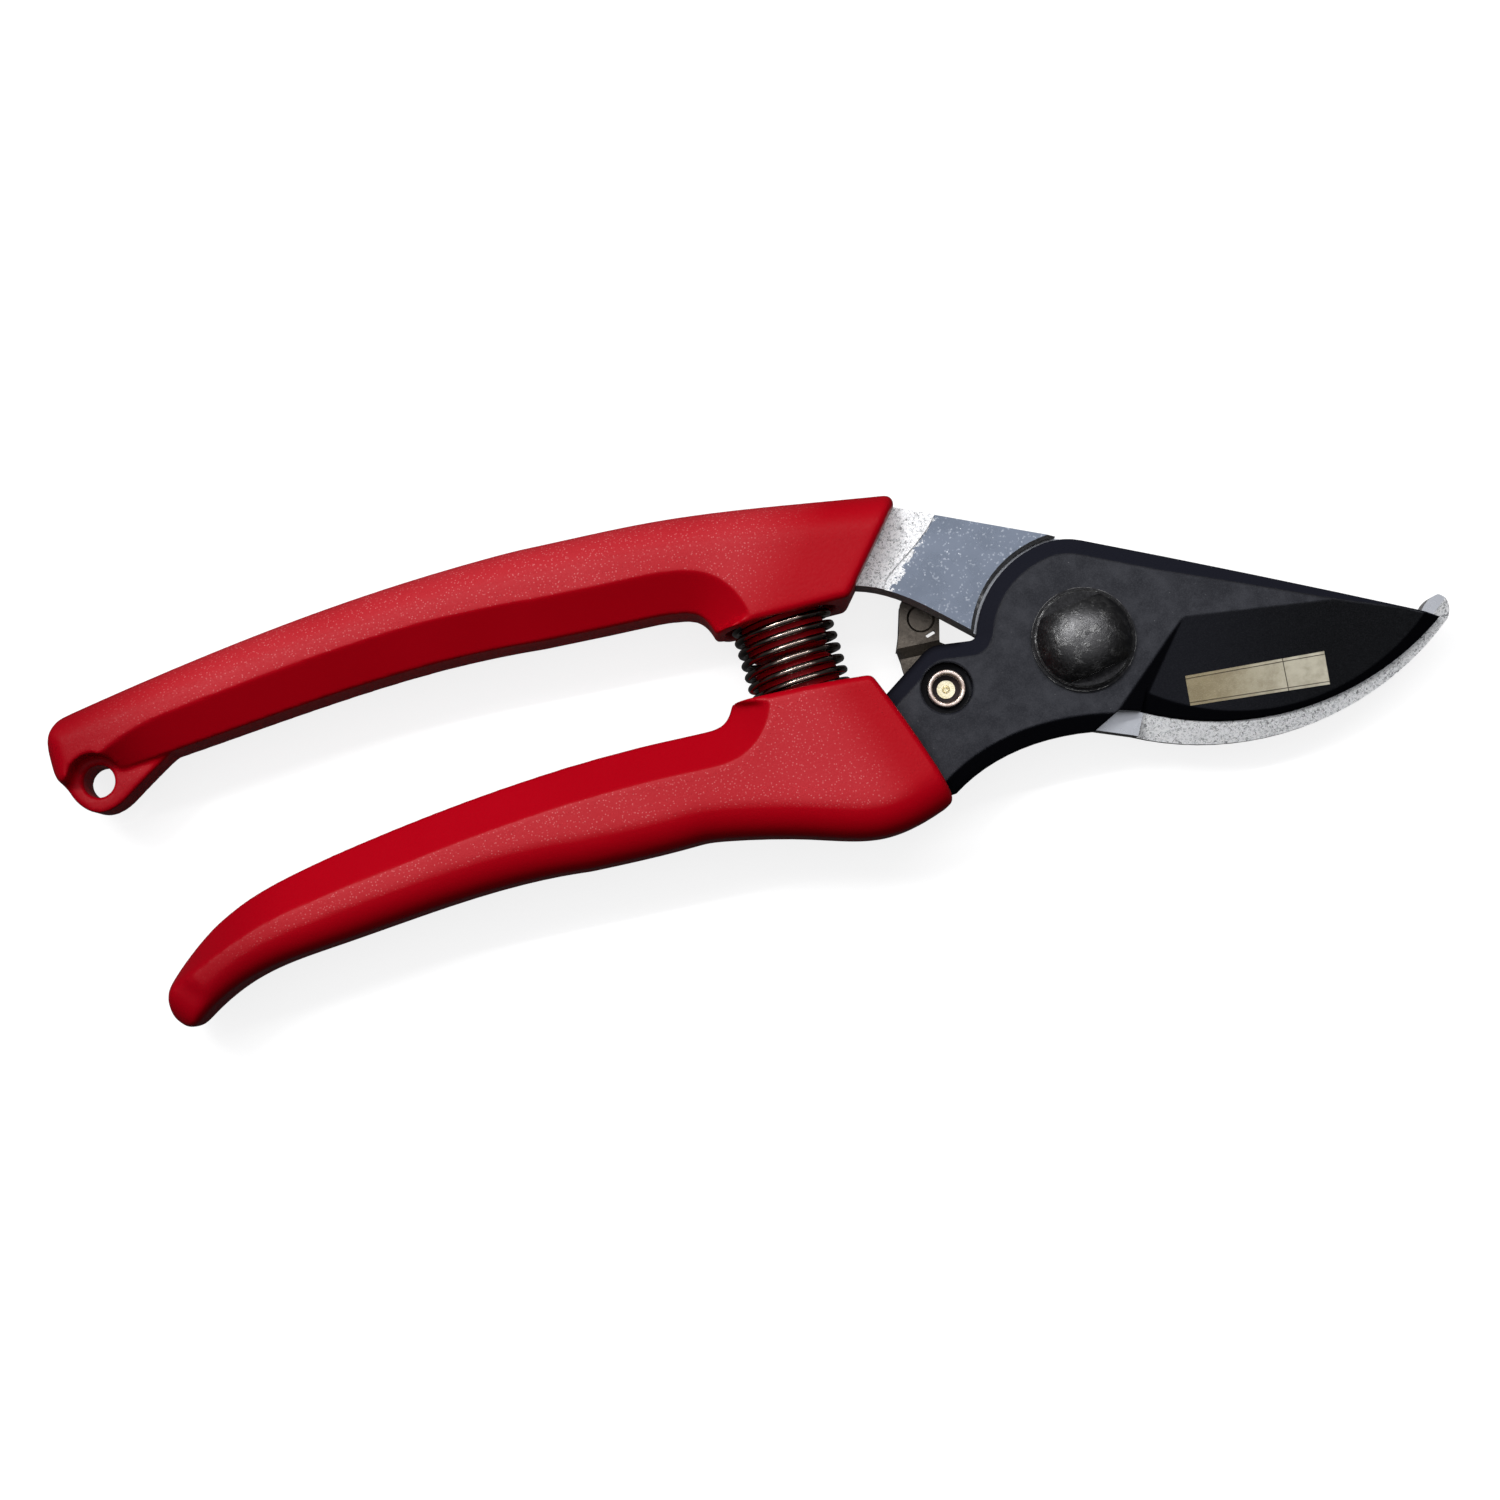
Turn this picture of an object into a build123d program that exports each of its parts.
from build123d import *
import os
from math import cos, radians, sin

# Bypass pruning shears, 200 mm long, closed and latched, lying on their back.
# Frame: the pivot axis is Z, z = 0 is the surface the shears lie on, +X runs to
# the blade tip, and +Y runs to the handle that carries the hooked counter-blade.
# All lengths are millimetres.

# ---------------------------------------------------------------- heights
GRIP_THICK = 19.0          # both moulded grips, from z = 0
SHEAR_Z = GRIP_THICK / 2   # the plane in which the two blades slide on each other
BLADE_THICK = 3.2          # cutting blade, above the shear plane
BLADE_TOP = SHEAR_Z + BLADE_THICK
HOOK_THICK = 3.5           # counter-blade, below the shear plane
HOOK_BOTTOM = SHEAR_Z - HOOK_THICK
SHANK_TOP = 12.0           # forged shank of the counter-blade
GROUND_DEPTH = 0.35        # how far its ground face lies below the forged skin

# ---------------------------------------------------------------- pivot
HUB_R = 15.0               # round hub of the cutting blade
WALL_R = HUB_R + 0.4       # arc-shaped wall of the counter-blade around it
COUNTER_HUB_R = 12.4       # hub of the counter-blade, hidden under the other
JOURNAL_R = 4.5
RUNNING_GAP = 0.05
HEAD_R = 7.0
HEAD_FLAT = 5.0            # half the distance over the two flats of the bolt head
HEAD_FLAT_ANGLE = 12.0
HEAD_WASHER_THICK = 0.6
FLANGE_THICK = 0.9
DOME_HEIGHT = 3.3
SQUARE_NECK = 7.6          # anti-turn neck in the counter-blade
THREAD_R = 3.0
NUT_WASHER_THICK = 0.8
NUT_ACROSS = 10.0
NUT_THICK = 3.4
COLLAR_THICK = 1.1         # round collar of the nut, around its nylon ring

# ---------------------------------------------------------------- blade edges
EDGE_C, EDGE_R = (25.0, 26.2), 42.1     # the cutting edge is one arc
HOOK_C, HOOK_R = (23.0, 25.8), 44.4     # so is the outer edge of the hook
HOOK_BEVEL_C, HOOK_BEVEL_R = (24.0, 26.0), 41.6
BEVEL_SLOPE = 35.0                      # degrees, both sharpening bevels
SPINE_ACROSS, SPINE_DOWN = 2.3, 1.5     # forged bevels around the cutting blade's hub

# ---------------------------------------------------------------- catch
CATCH_X, CATCH_Y = -20.3, -2.7
COUNTERBORE_R, COUNTERBORE_DEPTH = 3.65, 1.6
EYELET_R = 2.65
PIN_R = 1.3
CATCH_BORE_R = 2.05        # upper bore of the eyelet, around the pin's washer
PLATE_THICK = 1.2
PLATE_HIGH_Z = 7.6         # underside of the catch plate at its rivet
PLATE_LOW_Z = 4.2          # and where it passes below the counter-blade

# ---------------------------------------------------------------- spring
SPRING_OD = 14.5
WIRE_D = 1.1
SPRING_PITCH = 1.7
SPRING_BASE = (-40.15, -1.6)   # centre of its lower end, on the lower pocket's floor
SPRING_LEAN = 4.3              # degrees by which its axis leans from +Y towards -X
SPRING_LENGTH = 15.9           # between the two pocket floors, with the shears closed
POCKET_R = 8.1
PEG_R = 5.8
PEG_HEIGHT = 7.5               # from the pocket floor

# ---------------------------------------------------------------- grips
BEVEL_ACROSS = 5.4         # inner bevels of the head blocks, on the top face
BEVEL_DOWN = 4.5           # and on the inner wall
OUTER_ROUND = 5.8
FRONT_ROUND = 1.2
JOIN_X = -75.0             # where a grip's head block passes into its handle
LANYARD_X, LANYARD_Y, LANYARD_R = -139.9, 9.2, 2.3
EAR_THICK = 7.4

os.makedirs("parts", exist_ok=True)


def polar(radius, angle):
    """Point on a circle around the pivot axis, at an angle in degrees."""
    return (radius * cos(radians(angle)), radius * sin(radians(angle)))


def shifted(point, by):
    """A plan point moved by another one's coordinates."""
    return (point[0] + by[0], point[1] + by[1])


def finish(builder, name):
    """Label a finished piece and write its STEP file."""
    builder.part.label = name
    export_step(builder.part, "parts/" + name + ".step")


def near(edges, *points):
    """The edges that pass nearest to the given points."""
    return [edges.sort_by_distance(point)[0] for point in points]


def ring(inner, outer, low, high, centre=(0, 0)):
    """A plain washer: a flat ring between two heights."""
    with BuildPart() as washer:
        with BuildSketch(Plane.XY.offset(low)):
            with Locations(centre):
                Circle(outer)
                Circle(inner, mode=Mode.SUBTRACT)
        extrude(amount=high - low)
    return washer


def bevel_cutter(centre, radius, start, arc, inwards):
    """Ring-shaped cutter that leaves a conical bevel along an arc-shaped edge.

    With inwards True it leans over the material above the shear plane, and with
    inwards False it drops away from the arc below the shear plane.
    """
    plane = Plane(
        origin=(centre[0], centre[1], SHEAR_Z),
        x_dir=(cos(radians(start)), sin(radians(start)), 0),
        z_dir=(sin(radians(start)), -cos(radians(start)), 0),
    )
    reach = 6.0
    drop = reach * sin(radians(BEVEL_SLOPE)) / cos(radians(BEVEL_SLOPE))
    with BuildPart() as cutter:
        with BuildSketch(plane):
            with BuildLine():
                if inwards:
                    Polyline((radius, 0.1), (radius + reach, 0.1), (radius + reach, drop),
                             (radius - reach, drop), (radius, 0.1))
                else:
                    Polyline((radius, 0), (radius + reach, 0), (radius + reach, -drop), (radius, 0))
            make_face()
        revolve(axis=Axis((centre[0], centre[1], 0), (0, 0, 1)), revolution_arc=arc)
    return cutter.part


def handle_section(inner, outer, bevel, rounding, thick):
    """Cross-section of a handle between a point of its inner and of its outer edge.

    The inner side is a wall between two flat bevels, and the outer side is rounded.
    """
    across = outer - inner
    width = across.length
    half = thick / 2
    wall = half - BEVEL_DOWN * thick / GRIP_THICK
    turn = rounding * sin(radians(45))
    plane = Plane(origin=(inner.X, inner.Y, SHEAR_Z), x_dir=across, z_dir=across.cross(Vector(0, 0, 1)))
    with BuildSketch(plane) as section:
        with BuildLine():
            Polyline((width - rounding, -half), (bevel, -half), (0, -wall), (0, wall), (bevel, half),
                     (width - rounding, half))
            ThreePointArc((width - rounding, half), (width - rounding + turn, half - rounding + turn),
                          (width, half - rounding))
            Line((width, half - rounding), (width, rounding - half))
            ThreePointArc((width, rounding - half), (width - rounding + turn, rounding - half - turn),
                          (width - rounding, -half))
        make_face()
    return section.sketch


def on_spring(distance, across=0.0):
    """Plan position at a distance along the spring's axis from its lower end."""
    lean = radians(SPRING_LEAN)
    return (SPRING_BASE[0] - distance * sin(lean) + across * cos(lean),
            SPRING_BASE[1] + distance * cos(lean) + across * sin(lean))


def spring_plane(distance, facing=1):
    """Plane across the spring's axis, facing +Y or, with facing -1, facing -Y."""
    lean = radians(SPRING_LEAN)
    x, y = on_spring(distance)
    return Plane(origin=(x, y, SHEAR_Z), x_dir=(0, 0, 1), z_dir=(-facing * sin(lean), facing * cos(lean), 0))


# ================================================================ cutting blade
tip = (50.8, -7.0)
# the hub's arc tightens at the top and runs into the slightly crowned spine
TOP_ARC_R, TOP_TURN, SPINE_TURN = 9.8, 100.0, 67.0
top_arc_start = polar(HUB_R, TOP_TURN)
top_arc_centre = polar(HUB_R - TOP_ARC_R, TOP_TURN)
top_arc_middle = shifted(top_arc_centre, polar(TOP_ARC_R, (TOP_TURN + SPINE_TURN) / 2))
spine_start = shifted(top_arc_centre, polar(TOP_ARC_R, SPINE_TURN))
hub_end = polar(HUB_R, 167.5)
shoulder = (-21.3, 3.8)
heel = (6.1, -11.5)
grind_plane = Plane(origin=(14.8, 0.3, 12.6), x_dir=(18.9, -1.7, -0.57), z_dir=(0.0183, -0.138, 0.99))
step_plane = Plane(origin=(5.2, -8.4, BLADE_TOP), x_dir=(9.4, 8.9, 0), z_dir=(0.34, -0.36, 0.87))
TAPER_START, TAPER_END = 12.0, 60.0
TAPER_DROP = 1.5

with BuildPart() as hollow_grind:
    with BuildSketch(grind_plane):
        Rectangle(120, 80)
    extrude(amount=8)
    split(bisect_by=step_plane, keep=Keep.TOP)

edge_bevel = bevel_cutter(EDGE_C, EDGE_R, -116.8, 72, inwards=True)

with BuildPart() as cutting_blade:
    with BuildSketch(Plane.XY.offset(SHEAR_Z)) as blade_outline:
        with BuildLine():
            TangentArc(spine_start, tip, tangent=polar(1, SPINE_TURN - 90))
            ThreePointArc(spine_start, top_arc_middle, top_arc_start)
            ThreePointArc(top_arc_start, polar(HUB_R, 130), hub_end)
            Polyline(hub_end, shoulder, (-35.0, -6.2), (-40.0, -20.0), (-21.9, -17.4))
            Spline((-21.9, -17.4), (-15.0, -14.0), (-8.0, -12.7), (-1.0, -12.9))
            Polyline((-1.0, -12.9), (2.8, -10.8), heel)
            ThreePointArc(heel, (EDGE_C[0], EDGE_C[1] - EDGE_R), tip)
        make_face()
        fillet(blade_outline.vertices().sort_by_distance((*hub_end, SHEAR_Z))[0], 1.2)
        fillet(blade_outline.vertices().sort_by_distance((*shoulder, SHEAR_Z))[0], 4.0)
    extrude(amount=BLADE_THICK)
    top_edges = cutting_blade.edges().filter_by_position(Axis.Z, BLADE_TOP, BLADE_TOP)
    chamfer(near(top_edges, (30, 2, BLADE_TOP), (-8.0, -12.7, BLADE_TOP)), length=SPINE_ACROSS,
            length2=SPINE_DOWN, reference=cutting_blade.faces().sort_by(Axis.Z)[-1])
    # the blade thins towards its tip, and its lower half is ground hollow
    with BuildSketch(Plane.XZ.offset(-40)):
        with BuildLine():
            Polyline((TAPER_START, BLADE_TOP), (TAPER_END, BLADE_TOP), (TAPER_END, BLADE_TOP - TAPER_DROP),
                     (TAPER_START, BLADE_TOP))
        make_face()
    extrude(amount=80, mode=Mode.SUBTRACT)
    add(hollow_grind.part, mode=Mode.SUBTRACT)
    add(edge_bevel, mode=Mode.SUBTRACT)
    # the tang inside the grip replaces the coarse blank there
    with BuildSketch(Plane.XY.offset(SHEAR_Z)):
        with BuildLine():
            Polyline((-31.0, -3.2), (-34.0, -25.0), (-45.0, -25.0), (-45.0, 5.0), (-31.0, -3.2))
        make_face()
    extrude(amount=BLADE_THICK, mode=Mode.SUBTRACT)
    with BuildSketch(Plane.XY.offset(SHEAR_Z)):
        with BuildLine():
            Polyline((-29.0, -6.0), (-38.0, -6.4))
            Spline((-38.0, -6.4), (-60.0, -5.6), (-90.0, -8.8), (-117.0, -14.6))
            ThreePointArc((-117.0, -14.6), (-119.4, -17.0), (-116.0, -17.8))
            Spline((-116.0, -17.8), (-90.0, -14.2), (-60.0, -13.0), (-38.0, -14.6))
            Polyline((-38.0, -14.6), (-26.0, -15.6), (-29.0, -6.0))
        make_face()
        with Locations((-62.0, -9.2), (-92.0, -11.6)):
            Circle(2.5, mode=Mode.SUBTRACT)
    extrude(amount=BLADE_THICK)
    with Locations((0, 0, BLADE_TOP)):
        Hole(JOURNAL_R + RUNNING_GAP)
    with Locations((CATCH_X, CATCH_Y, BLADE_TOP)):
        CounterBoreHole(EYELET_R, COUNTERBORE_R, COUNTERBORE_DEPTH)
finish(cutting_blade, "cutting_blade")

# ================================================================ counter-blade
hook_end, hook_top, hook_inner_end = (52.2, -7.4), (51.3, -3.8), (48.8, -5.2)
hook_bevel = bevel_cutter(HOOK_BEVEL_C, HOOK_BEVEL_R, -114.9, 72, inwards=False)
neck_corner = (-14.7, 4.5)

with BuildSketch() as shank:
    with BuildLine():
        Polyline((1.5, 14.6), (-22.4, 24.3), (-30.0, 24.0))
        Spline((-30.0, 24.0), (-45.0, 25.4), (-62.0, 26.0), (-90.0, 25.0), (-116.0, 21.8))
        ThreePointArc((-116.0, 21.8), (-119.0, 18.9), (-116.0, 16.8))
        Spline((-116.0, 16.8), (-90.0, 18.8), (-62.0, 19.0), (-40.0, 17.6))
        Polyline((-40.0, 17.6), (-32.4, 17.0), (-29.7, 14.3))
        Spline((-29.7, 14.3), (-25.6, 12.8), (-20.0, 9.0), neck_corner)
        Polyline(neck_corner, (-11.0, 1.0), (1.5, 14.6))
    make_face()
    with Locations((-58.0, 22.6), (-92.0, 21.6)):
        Circle(2.5, mode=Mode.SUBTRACT)

with BuildPart() as counter_blade:
    with BuildSketch(Plane.XY.offset(HOOK_BOTTOM)):
        Circle(COUNTER_HUB_R)
        with BuildLine():
            Line((-2.0, -12.2), (4.4, -14.5))
            ThreePointArc((4.4, -14.5), (HOOK_C[0], HOOK_C[1] - HOOK_R), hook_end)
            ThreePointArc(hook_end, (52.6, -5.3), hook_top)
            ThreePointArc(hook_top, (50.2, -4.1), hook_inner_end)
            ThreePointArc(hook_inner_end, (32.0, -14.0), (12.0, -4.0))
            Polyline((12.0, -4.0), (0, 0), (-2.0, -12.2))
        make_face()
        add(shank.sketch)
    extrude(amount=HOOK_THICK)
    with BuildSketch(Plane.XY.offset(SHEAR_Z)):
        add(shank.sketch)
        Circle(WALL_R, mode=Mode.SUBTRACT)
    extrude(amount=SHANK_TOP - SHEAR_Z)
    add(hook_bevel, mode=Mode.SUBTRACT)
    # ground face of the shank, a little below the forged skin next to the grip
    with BuildSketch(Plane.XY.offset(SHANK_TOP - GROUND_DEPTH)):
        with BuildLine():
            Spline((-15.6, 24.0), (-18.2, 20.2), (-23.4, 16.0), (-25.6, 14.0), (-26.2, 11.0))
            Polyline((-26.2, 11.0), (-10.0, -4.0), (6.0, 12.0), (-15.6, 24.0))
        make_face()
    extrude(amount=GROUND_DEPTH, mode=Mode.SUBTRACT)
    with BuildSketch(Plane.XY.offset(HOOK_BOTTOM)):
        RectangleRounded(SQUARE_NECK, SQUARE_NECK, 0.8, rotation=HEAD_FLAT_ANGLE)
    extrude(amount=HOOK_THICK, mode=Mode.SUBTRACT)
    wall_top = SHANK_TOP - GROUND_DEPTH
    arc_edge = near(counter_blade.edges(), (*polar(WALL_R, 125), wall_top))
    chamfer(arc_edge, length=0.5)
finish(counter_blade, "counter_blade")

# ================================================================ grips
HANDLE_SECTIONS = 12
TAIL_X = -125.0            # behind this the plan outline is trimmed round
LOWER_INNER = ((JOIN_X, -2.7), (-90.0, -4.5), (-104.0, -6.9), (-115.0, -9.3), (-123.5, -12.1),
               (-130.5, -16.3), (-135.4, -20.9), (-139.0, -26.5))
LOWER_OUTER = ((JOIN_X, -17.3), (-89.5, -17.4), (-103.0, -18.9), (-113.0, -20.2), (-120.0, -21.2),
               (-125.6, -22.8), (-131.0, -25.8), (-135.5, -29.6))
UPPER_INNER = ((JOIN_X, 15.5), (-103.5, 14.4), (-126.5, 11.4), (-147.5, 9.2))
UPPER_OUTER = ((JOIN_X, 28.95), (-106.0, 26.0), (-130.5, 21.7), (-148.5, 17.9))
# plan outlines that round off the two tails
LOWER_TAIL = ((-134.0, -17.6), (-136.2, -23.0), (-136.2, -25.9), (-134.1, -27.4), (-130.8, -26.1))
LOWER_TAIL_ENDS = ((-0.5, -1.0), (1.0, 0.55))
UPPER_TAIL = ((-138.0, 21.4), (-143.7, 18.9), (-146.0, 15.0), (-144.4, 8.6))
UPPER_TAIL_ENDS = ((-1.0, -0.3), (0.6, -1.0))
# tip of each tail, the heading that it points in and its rounding seen from the side
LOWER_NOSE = ((-135.7, -26.2), 221.0, 5.4)
UPPER_NOSE = ((-146.0, 15.0), 184.0, 4.0)
NOSE_MARGIN = 0.8          # on each side of the tail's own thickness


def grip_head(outline, inner_point, outer_point, front_point):
    """Thick front block of a grip, bevelled inside and rounded outside and in front."""
    with BuildPart() as block:
        with BuildSketch():
            add(outline)
        extrude(amount=GRIP_THICK)
        for z, side in ((GRIP_THICK, -1), (0.0, 0)):
            rim = block.edges().filter_by_position(Axis.Z, z, z)
            chamfer(near(rim, (*inner_point, z)), length=BEVEL_ACROSS, length2=BEVEL_DOWN,
                    reference=block.faces().sort_by(Axis.Z)[side])
        for point, radius in ((outer_point, OUTER_ROUND), (front_point, FRONT_ROUND)):
            for z in (GRIP_THICK, 0.0):
                rim = block.edges().filter_by_position(Axis.Z, z, z)
                fillet(near(rim, (*point, z)), radius)
    return block.part


def nose(end, heading, rounding, thick):
    """Block, seen from the side, whose end at a tail's tip is rounded above and below."""
    half = thick / 2 + NOSE_MARGIN
    turn = rounding * (1 - sin(radians(45)))
    back = (-cos(radians(heading)), -sin(radians(heading)), 0)
    with BuildPart() as block:
        with BuildSketch(Plane(origin=(*end, SHEAR_Z), x_dir=back, z_dir=(back[1], -back[0], 0))):
            with BuildLine():
                Line((0, rounding - half), (0, half - rounding))
                ThreePointArc((0, half - rounding), (turn, half - turn), (rounding, half))
                Polyline((rounding, half), (14, 20), (200, 20), (200, -20), (14, -20), (rounding, -half))
                ThreePointArc((rounding, -half), (turn, turn - half), (0, rounding - half))
            make_face()
        extrude(amount=150, both=True)
    return block.part


def handle(inner_points, outer_points, tail_thick, bevel_end, tail_outline, tail_ends, tail_nose):
    """Slender part of a grip, lofted through cross-sections that shrink at the tail.

    The inner bevel fades out over the last share of the length, from bevel_end on.
    """
    with BuildLine() as inner_edge:
        Spline(*inner_points)
    with BuildLine() as outer_edge:
        Spline(*outer_points)
    with BuildPart() as bar:
        for step in range(HANDLE_SECTIONS + 1):
            share = step / HANDLE_SECTIONS
            tail = share ** 4
            inner = inner_edge.line @ share
            outer = outer_edge.line @ share
            width = (outer - inner).length
            fade = min(max((share - bevel_end) / (0.93 - bevel_end), 0.0), 1.0)
            bevel = min(BEVEL_ACROSS, width * 0.44) * (1 - 0.85 * fade * fade)
            rounding = min(OUTER_ROUND - 1.0 * tail, width * 0.46)
            add(handle_section(inner, outer, bevel, rounding, GRIP_THICK - (GRIP_THICK - tail_thick) * tail))
        loft()
        low = min(point[1] for point in tail_outline) - 20
        high = max(point[1] for point in tail_outline) + 20
        with BuildSketch():
            with BuildLine():
                Spline(*tail_outline, tangents=tail_ends)
                Polyline(tail_outline[-1], (TAIL_X, low), (JOIN_X, low), (JOIN_X, high), (TAIL_X, high),
                         tail_outline[0])
            make_face()
        extrude(amount=GRIP_THICK, mode=Mode.INTERSECT)
        add(nose(*tail_nose, tail_thick), mode=Mode.INTERSECT)
    return bar.part


def spring_seat(distance, facing):
    """Round pocket around a spring peg, as a cutter and a peg."""
    with BuildPart() as pocket:
        with BuildSketch(spring_plane(distance, facing)):
            Circle(POCKET_R)
        extrude(amount=9)
    with BuildPart() as peg:
        with BuildSketch(spring_plane(distance - facing, facing)):
            Circle(PEG_R)
        extrude(amount=PEG_HEIGHT + 1)
        chamfer(peg.faces().sort_by(Axis.Y)[-1 if facing > 0 else 0].edges(), length=0.8)
    return pocket.part, peg.part


with BuildSketch() as lower_outline:
    with BuildLine():
        Line((JOIN_X, -17.3), (JOIN_X, -2.7))
        Spline((JOIN_X, -2.7), (-62.0, -2.0), (-55.0, -1.9), (-52.0, -1.2), (-50.5, 1.1),
               tangents=((1, 0.08), (0.3, 1)))
        Polyline((-50.5, 1.1), (-40.0, 1.3), (-30.6, 0.9))
        Spline((-30.6, 0.9), (-26.9, -7.3), (-22.6, -18.6))
        Spline((-22.6, -18.6), (-33.0, -21.4), (-44.0, -19.2), (-56.0, -17.0), (JOIN_X, -17.3),
               tangents=((-1, -0.45), (-1, 0)))
    make_face()

lower_pocket, lower_peg = spring_seat(0, 1)

with BuildPart() as lower_grip:
    add(grip_head(lower_outline.sketch, (-62.0, -1.9), (-44.0, -19.2), (-26.9, -7.3)))
    add(handle(LOWER_INNER, LOWER_OUTER, 11.0, 0.75, LOWER_TAIL, LOWER_TAIL_ENDS, LOWER_NOSE))
    add(lower_pocket, mode=Mode.SUBTRACT)
    add(lower_peg)
    add(cutting_blade.part, mode=Mode.SUBTRACT)
finish(lower_grip, "lower_grip")

with BuildSketch() as upper_outline:
    with BuildLine():
        Line((JOIN_X, 28.95), (JOIN_X, 15.5))
        Spline((JOIN_X, 15.5), (-62.0, 15.5), (-55.0, 15.3), (-52.2, 14.3), (-50.6, 11.3),
               tangents=((1, 0), (0.3, -1)))
        Polyline((-50.6, 11.3), (-31.4, 12.2), (-21.1, 25.6))
        Spline((-21.1, 25.6), (-39.0, 27.6), (-56.0, 28.95), (JOIN_X, 28.95), tangents=((-1, 0.1), (-1, 0)))
    make_face()

EAR_OUTLINE = ((-128.5, 11.4), (-132.5, 8.9), (-135.4, 6.9), (-138.4, 5.1), (-140.9, 4.9), (-143.0, 6.2),
               (-144.4, 8.6))
ear_low = SHEAR_Z - EAR_THICK / 2
ear_high = SHEAR_Z + EAR_THICK / 2
upper_pocket, upper_peg = spring_seat(SPRING_LENGTH, -1)

with BuildPart() as upper_grip:
    add(grip_head(upper_outline.sketch, (-62.0, 15.45), (-56.0, 28.95), (-27.0, 18.9)))
    add(handle(UPPER_INNER, UPPER_OUTER, 14.0, 0.72, UPPER_TAIL, UPPER_TAIL_ENDS, UPPER_NOSE))
    add(upper_pocket, mode=Mode.SUBTRACT)
    add(upper_peg)
    # recesses on both sides of the lanyard ear
    with BuildSketch(Plane.XY.offset(ear_high), Plane.XY.offset(ear_low - 10)):
        with Locations((LANYARD_X, LANYARD_Y)):
            Circle(LANYARD_R + 1.3)
    extrude(amount=10, mode=Mode.SUBTRACT)
    with BuildSketch(Plane.XY.offset(ear_low)):
        with BuildLine():
            Spline(*EAR_OUTLINE)
            Polyline(EAR_OUTLINE[-1], (-145.6, 11.2), (-143.0, 14.0), (-130.0, 14.0), EAR_OUTLINE[0])
        make_face()
    extrude(amount=EAR_THICK)
    with BuildSketch(Plane.XY.offset(ear_low)):
        with Locations((LANYARD_X, LANYARD_Y)):
            Circle(LANYARD_R)
    extrude(amount=EAR_THICK, mode=Mode.SUBTRACT)
    add(counter_blade.part, mode=Mode.SUBTRACT)
finish(upper_grip, "upper_grip")

# ================================================================ pivot
FLANGE_TOP = BLADE_TOP + HEAD_WASHER_THICK + FLANGE_THICK
NUT_WASHER_LOW = HOOK_BOTTOM - NUT_WASHER_THICK
NUT_LOW = NUT_WASHER_LOW - NUT_THICK
INSERT_R = 4.0

with BuildPart() as pivot_bolt:
    # domed head on its flange
    with BuildSketch(Plane.XZ):
        with BuildLine():
            Polyline((0, FLANGE_TOP + DOME_HEIGHT), (0, FLANGE_TOP - FLANGE_THICK),
                     (HEAD_R, FLANGE_TOP - FLANGE_THICK), (HEAD_R, FLANGE_TOP - 0.2),
                     (HEAD_R - 0.3, FLANGE_TOP))
            ThreePointArc((HEAD_R - 0.3, FLANGE_TOP), (4.3, FLANGE_TOP + DOME_HEIGHT * 0.72),
                          (0, FLANGE_TOP + DOME_HEIGHT))
        make_face()
    revolve(axis=Axis.Z)
    with BuildSketch(Plane.XY.offset(FLANGE_TOP)):
        with PolarLocations(HEAD_FLAT + 5, 2, start_angle=HEAD_FLAT_ANGLE + 90):
            Rectangle(10, 20)
    extrude(amount=DOME_HEIGHT + 1, mode=Mode.SUBTRACT)
    # journal, square neck and threaded end
    with BuildSketch(Plane.XY.offset(SHEAR_Z)):
        Circle(JOURNAL_R)
    extrude(amount=FLANGE_TOP - SHEAR_Z)
    with BuildSketch(Plane.XY.offset(HOOK_BOTTOM)):
        RectangleRounded(SQUARE_NECK, SQUARE_NECK, 0.8, rotation=HEAD_FLAT_ANGLE)
    extrude(amount=HOOK_THICK)
    with BuildSketch():
        Circle(THREAD_R)
    extrude(amount=HOOK_BOTTOM)
    chamfer(pivot_bolt.edges().group_by(Axis.Z)[0], length=0.5)
finish(pivot_bolt, "pivot_bolt")

finish(ring(JOURNAL_R, HEAD_R + 0.4, BLADE_TOP, BLADE_TOP + HEAD_WASHER_THICK), "head_washer")
finish(ring(THREAD_R, 7.0, NUT_WASHER_LOW, HOOK_BOTTOM), "nut_washer")
finish(ring(THREAD_R, INSERT_R, NUT_LOW - COLLAR_THICK, NUT_LOW), "nut_insert")

with BuildPart() as pivot_nut:
    with BuildSketch(Plane.XY.offset(NUT_LOW)):
        RegularPolygon(NUT_ACROSS / 2, 6, major_radius=False)
        Circle(THREAD_R, mode=Mode.SUBTRACT)
    extrude(amount=NUT_THICK)
    with BuildSketch(Plane.XY.offset(NUT_LOW - COLLAR_THICK)):
        Circle(NUT_ACROSS / 2 - 0.3)
        Circle(INSERT_R, mode=Mode.SUBTRACT)
    extrude(amount=COLLAR_THICK)
    chamfer(pivot_nut.edges().group_by(Axis.Z)[0].sort_by(SortBy.RADIUS)[-1], length=0.4)
finish(pivot_nut, "pivot_nut")

# ================================================================ catch
catch = (CATCH_X, CATCH_Y)
PLATE_HIGH_TOP = PLATE_HIGH_Z + PLATE_THICK
EYELET_TOP = BLADE_TOP - 0.4
SEAT_Z = 9.9               # the pin's washer sits here inside the eyelet
PIN_TOP = 10.5

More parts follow.
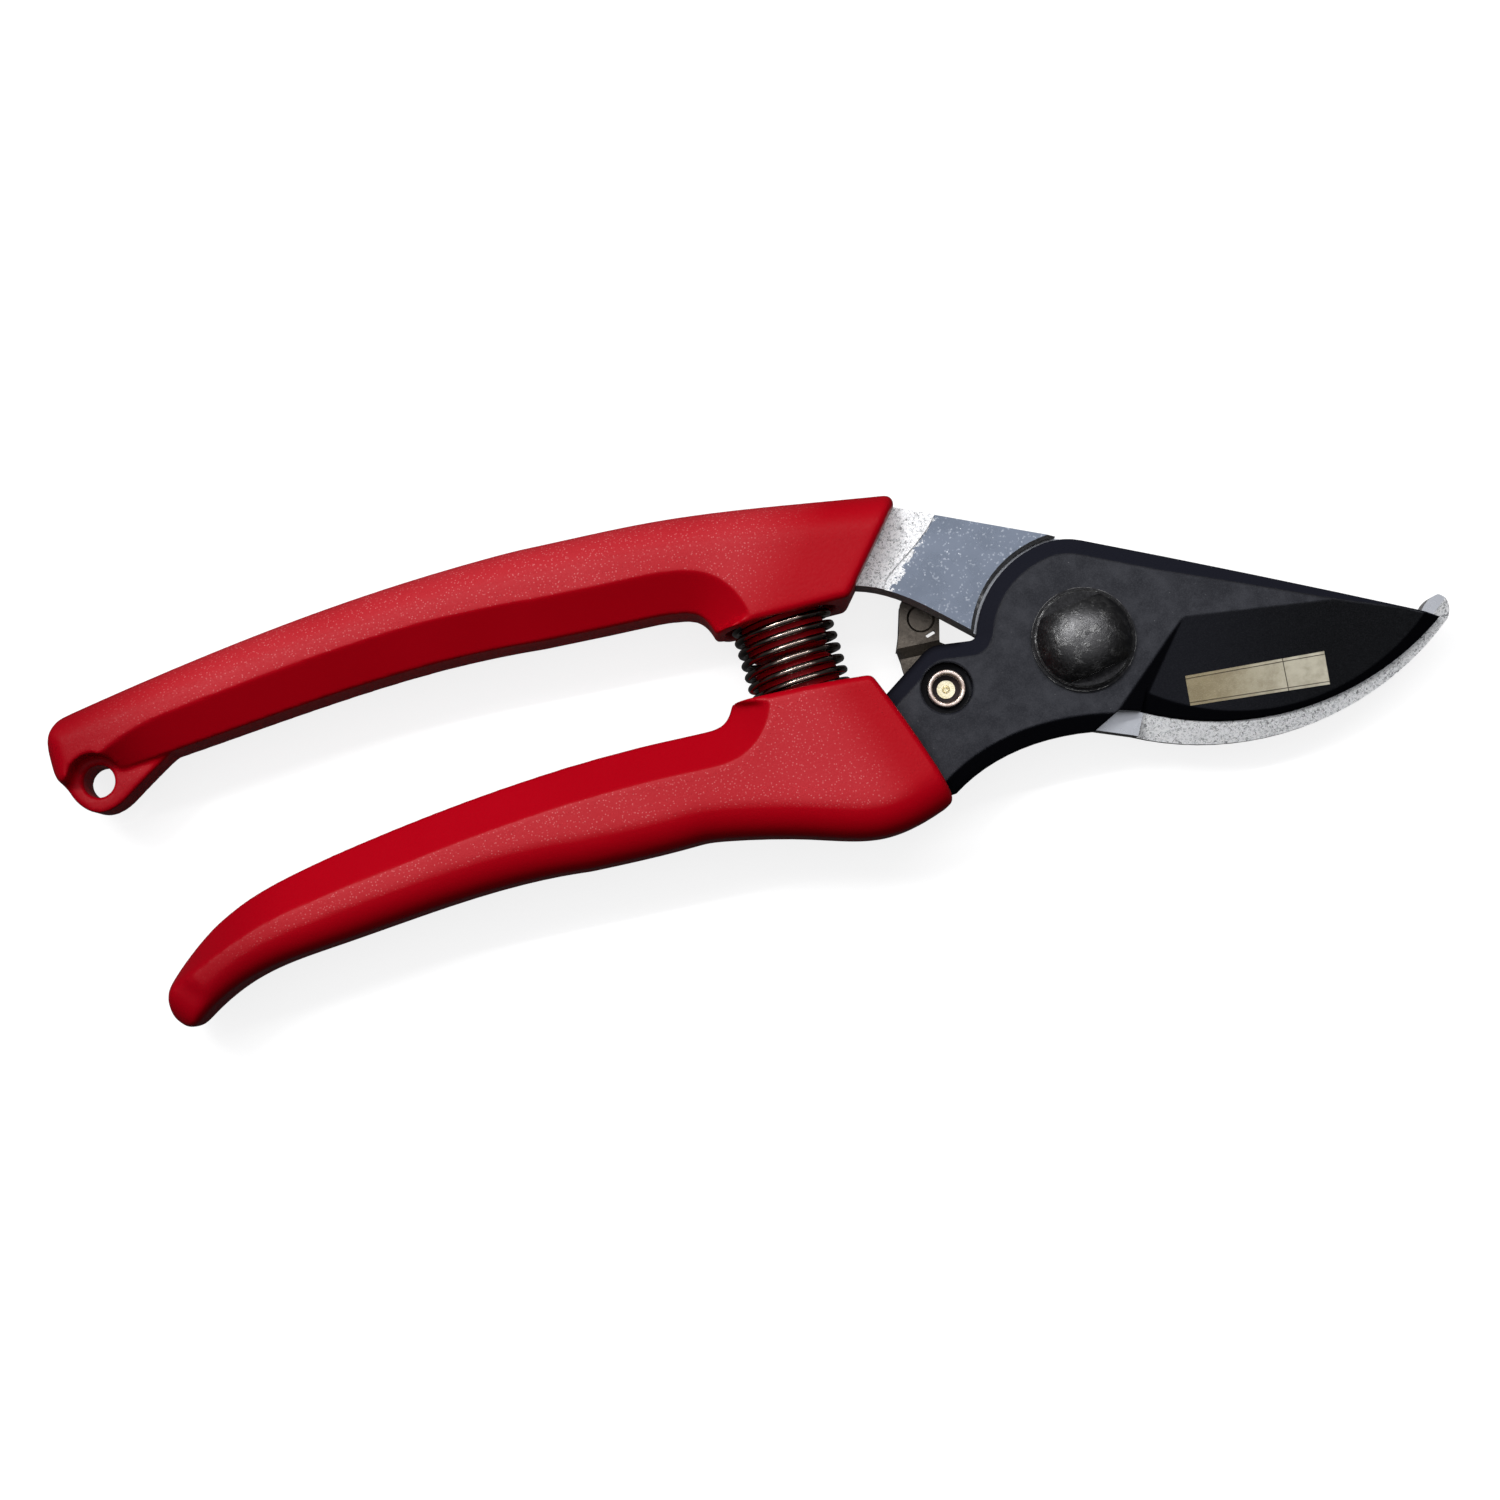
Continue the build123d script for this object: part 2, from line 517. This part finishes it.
with BuildPart() as catch_eyelet:
    with BuildSketch(Plane.XY.offset(SHEAR_Z)):
        with Locations(catch):
            Circle(EYELET_R)
            Circle(PIN_R + RUNNING_GAP, mode=Mode.SUBTRACT)
    extrude(amount=EYELET_TOP - SHEAR_Z)
    with BuildSketch(Plane.XY.offset(SEAT_Z)):
        with Locations(catch):
            Circle(CATCH_BORE_R + RUNNING_GAP)
    extrude(amount=EYELET_TOP - SEAT_Z, mode=Mode.SUBTRACT)
    fillet(catch_eyelet.edges().group_by(Axis.Z)[-1], 0.2)
finish(catch_eyelet, "catch_eyelet")

finish(ring(PIN_R, CATCH_BORE_R, SEAT_Z, SEAT_Z + 0.4, catch), "catch_washer")
finish(ring(PIN_R, 2.8, PLATE_HIGH_TOP, SHEAR_Z, catch), "catch_spring_washer")

with BuildPart() as catch_pin:
    with BuildSketch(Plane.XY.offset(PLATE_HIGH_Z - 0.8)):
        with Locations(catch):
            Circle(2.2)
    extrude(amount=0.8)
    fillet(catch_pin.edges().group_by(Axis.Z)[0], 0.5)
    with BuildSketch(Plane.XY.offset(PLATE_HIGH_Z)):
        with Locations(catch):
            Circle(PIN_R)
    extrude(amount=PIN_TOP - PLATE_HIGH_Z)
    with Locations((CATCH_X, CATCH_Y, PIN_TOP)):
        CounterSinkHole(0.3, 0.6, depth=0.6)
finish(catch_pin, "catch_pin")

STEP_Y1, STEP_Y2 = 3.0, 5.0      # the plate steps down between these two
with BuildPart() as catch_plate:
    with BuildSketch(Plane.YZ.offset(-32)):
        with BuildLine():
            Polyline((-8.0, PLATE_HIGH_Z), (-8.0, PLATE_HIGH_TOP), (STEP_Y1, PLATE_HIGH_TOP),
                     (STEP_Y2, PLATE_LOW_Z + PLATE_THICK), (14.0, PLATE_LOW_Z + PLATE_THICK),
                     (14.0, PLATE_LOW_Z), (STEP_Y2 - 0.6, PLATE_LOW_Z), (STEP_Y1 - 0.6, PLATE_HIGH_Z),
                     (-8.0, PLATE_HIGH_Z))
        make_face()
    extrude(amount=20)
    with BuildSketch():
        with BuildLine():
            ThreePointArc((-25.3, -1.4), (CATCH_X, CATCH_Y - 4.6), (-16.2, -0.6))
            Polyline((-16.2, -0.6), (-17.6, 3.0), (-19.3, 4.6), (-18.6, 8.0), (-18.0, 12.0), (-19.4, 13.2),
                     (-22.4, 13.0), (-23.7, 11.2), (-24.8, 6.9), (-25.6, 4.6), (-25.6, 1.9), (-25.3, -1.4))
        make_face()
    extrude(amount=12, mode=Mode.INTERSECT)
    # finger flange bent down along the free edge, pressed dimple and a slot
    with BuildSketch(Plane.XY.offset(1.2)):
        with BuildLine():
            Polyline((-25.55, 4.8), (-24.8, 6.9), (-23.75, 11.0), (-22.6, 10.7), (-23.6, 6.6), (-24.4, 4.5),
                     (-25.55, 4.8))
        make_face()
    extrude(amount=PLATE_LOW_Z + PLATE_THICK - 1.2)
    with BuildSketch(Plane.XY.offset(PLATE_LOW_Z + PLATE_THICK - 0.5)):
        with Locations((-21.2, 8.6)):
            Circle(1.7)
    extrude(amount=0.5, taper=-35, mode=Mode.SUBTRACT)
    with BuildSketch():
        with Locations((-20.3, 6.1)):
            SlotOverall(1.5, 0.5, rotation=20)
        with Locations(catch):
            Circle(PIN_R)
    extrude(amount=12, mode=Mode.SUBTRACT)
finish(catch_plate, "catch_plate")

# ================================================================ spring
wire_r = WIRE_D / 2
coil_r = SPRING_OD / 2 - wire_r
spring_dir = Vector(-sin(radians(SPRING_LEAN)), cos(radians(SPRING_LEAN)), 0)
spring_foot = Vector(*on_spring(wire_r), SHEAR_Z)

with BuildPart() as main_spring:
    with BuildLine() as coil:
        Helix(SPRING_PITCH, SPRING_LENGTH - WIRE_D, coil_r, center=spring_foot, direction=spring_dir)
    with BuildSketch(Plane(origin=coil.line @ 0, z_dir=coil.line % 0)):
        Circle(wire_r)
    sweep(is_frenet=True)
finish(main_spring, "main_spring")
